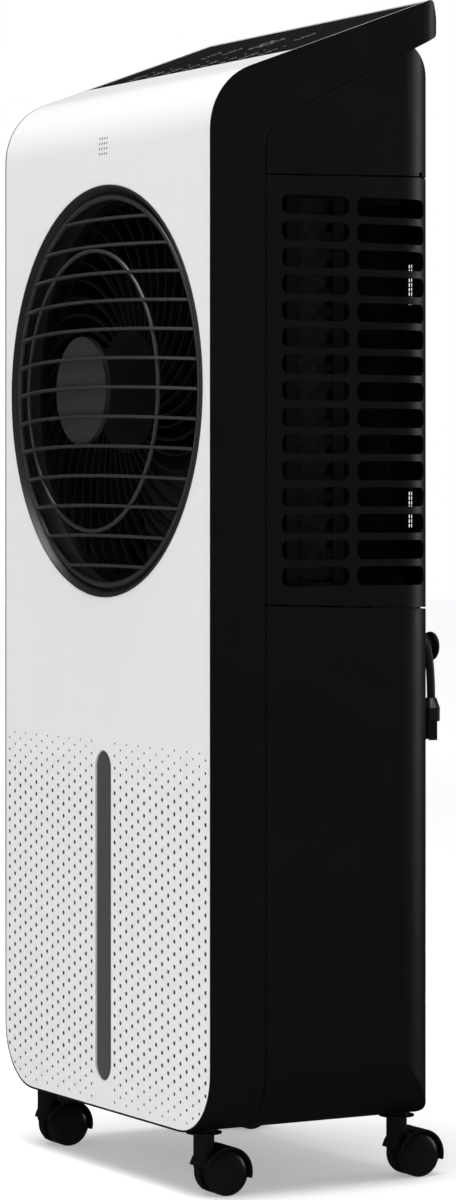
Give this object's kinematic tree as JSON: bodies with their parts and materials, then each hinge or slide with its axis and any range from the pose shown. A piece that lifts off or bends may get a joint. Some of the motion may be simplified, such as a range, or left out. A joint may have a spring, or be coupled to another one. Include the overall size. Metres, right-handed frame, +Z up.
{
  "type": "evaporative cooler",
  "caption": "Tower evaporative air cooler on twin-wheel casters: round domed fan grille, sloping touch top, side louvres, wet pad and a pull-out water tank drawer.",
  "frame": {"origin": "on the floor under the middle of the cooler, half way between its foremost and rearmost points", "axes": "+Z up, -Y is the front with the fan grille, +X is the right side seen from the front"},
  "size_m": [0.33, 0.239, 0.8643],
  "materials": {
    "white_panel": "satin",
    "black_shell": "satin",
    "control_glass": "polished",
    "grille_grey": "satin",
    "inner_black": "matte",
    "fan_plastic": "satin",
    "motor_steel": "satin",
    "bright_steel": "brushed",
    "board_green": "matte",
    "window_smoke": "polished",
    "pad_fibre": "open fluted fibre",
    "mesh_net": "fine net",
    "hose_clear": "soft",
    "tank_plastic": "milky",
    "float_orange": "satin",
    "caster_black": "satin",
    "cord_rubber": "satin"
  },
  "bodies": {
    "cabinet": {"caster_sockets": "caster_black", "control_board": "board_green", "control_panel": "control_glass", "cooling_pad": "pad_fibre", "cord_hank": "cord_rubber", "cord_outlet": "black_shell", "cord_pegs": "black_shell", "fan_bezel": "grille_grey", "fan_guard": "inner_black", "fan_motor": "motor_steel", "fan_shroud": "inner_black", "front_frame": "black_shell", "front_grille": "grille_grey", "front_panel": "white_panel", "grille_disc": "grille_grey", "grille_rings": "grille_grey", "housing_screws": "bright_steel", "level_window": "window_smoke", "louvre_panel": "black_shell", "lower_housing": "black_shell", "motor_bracket": "inner_black", "pad_cassette": "inner_black", "plug_blades": "bright_steel", "plug_body": "cord_rubber", "power_cord": "cord_rubber", "rear_housing_top": "black_shell", "strain_relief": "cord_rubber", "supply_hose": "hose_clear", "tank_rails": "inner_black", "water_distributor": "inner_black"},
    "fan": {"fan_impeller": "fan_plastic", "fan_nut": "fan_plastic", "motor_shaft": "bright_steel"},
    "tank": {"water_tank": "tank_plastic", "tank_face": "black_shell", "tank_handle": "inner_black", "float_guide": "inner_black", "water_pump": "inner_black"},
    "drain": {"drain_plug": "inner_black"},
    "float": {"level_float": "float_orange"},
    "filter": {"filter_frame": "inner_black", "filter_mesh": "mesh_net", "filter_tab": "inner_black"},
    "swivel_front_left": {"caster_hood_front_left": "caster_black", "caster_stem_front_left": "bright_steel"},
    "wheels_front_left": {"caster_wheels_front_left": "caster_black", "caster_axle_front_left": "bright_steel"},
    "swivel_front_right": {"caster_hood_front_right": "caster_black", "caster_stem_front_right": "bright_steel"},
    "wheels_front_right": {"caster_wheels_front_right": "caster_black", "caster_axle_front_right": "bright_steel"},
    "swivel_rear_left": {"caster_hood_rear_left": "caster_black", "caster_stem_rear_left": "bright_steel"},
    "wheels_rear_left": {"caster_wheels_rear_left": "caster_black", "caster_axle_rear_left": "bright_steel"},
    "swivel_rear_right": {"caster_hood_rear_right": "caster_black", "caster_stem_rear_right": "bright_steel"},
    "wheels_rear_right": {"caster_wheels_rear_right": "caster_black", "caster_axle_rear_right": "bright_steel"}
  },
  "joints": [
    {"name": "fan_spin", "type": "hinge", "parent": "cabinet", "child": "fan", "pos_m": [0, -0.053, 0.58], "axis": [0, -1, 0], "continuous": true},
    {"name": "tank_slide", "type": "slide", "parent": "cabinet", "child": "tank", "axis": [0, 1, 0], "range_m": [0, 0.16]},
    {"name": "drain_plug_pull", "type": "slide", "parent": "tank", "child": "drain", "axis": [0, 1, 0], "range_m": [0, 0.025]},
    {"name": "float_rise", "type": "slide", "parent": "tank", "child": "float", "axis": [0, 0, 1], "range_m": [0, 0.21]},
    {"name": "filter_pull", "type": "slide", "parent": "cabinet", "child": "filter", "axis": [0, 1, 0], "range_m": [0, 0.06]},
    {"name": "swivel_front_left", "type": "hinge", "parent": "cabinet", "child": "swivel_front_left", "pos_m": [-0.125, -0.079, 0.04], "axis": [0, 0, 1], "continuous": true},
    {"name": "roll_front_left", "type": "hinge", "parent": "swivel_front_left", "child": "wheels_front_left", "pos_m": [-0.125, -0.065, 0.0165], "axis": [1, 0, 0], "continuous": true},
    {"name": "swivel_front_right", "type": "hinge", "parent": "cabinet", "child": "swivel_front_right", "pos_m": [0.125, -0.079, 0.04], "axis": [0, 0, 1], "continuous": true},
    {"name": "roll_front_right", "type": "hinge", "parent": "swivel_front_right", "child": "wheels_front_right", "pos_m": [0.125, -0.065, 0.0165], "axis": [1, 0, 0], "continuous": true},
    {"name": "swivel_rear_left", "type": "hinge", "parent": "cabinet", "child": "swivel_rear_left", "pos_m": [-0.125, 0.0835, 0.04], "axis": [0, 0, 1], "continuous": true},
    {"name": "roll_rear_left", "type": "hinge", "parent": "swivel_rear_left", "child": "wheels_rear_left", "pos_m": [-0.125, 0.0975, 0.0165], "axis": [1, 0, 0], "continuous": true},
    {"name": "swivel_rear_right", "type": "hinge", "parent": "cabinet", "child": "swivel_rear_right", "pos_m": [0.125, 0.0835, 0.04], "axis": [0, 0, 1], "continuous": true},
    {"name": "roll_rear_right", "type": "hinge", "parent": "swivel_rear_right", "child": "wheels_rear_right", "pos_m": [0.125, 0.0975, 0.0165], "axis": [1, 0, 0], "continuous": true}
  ]
}
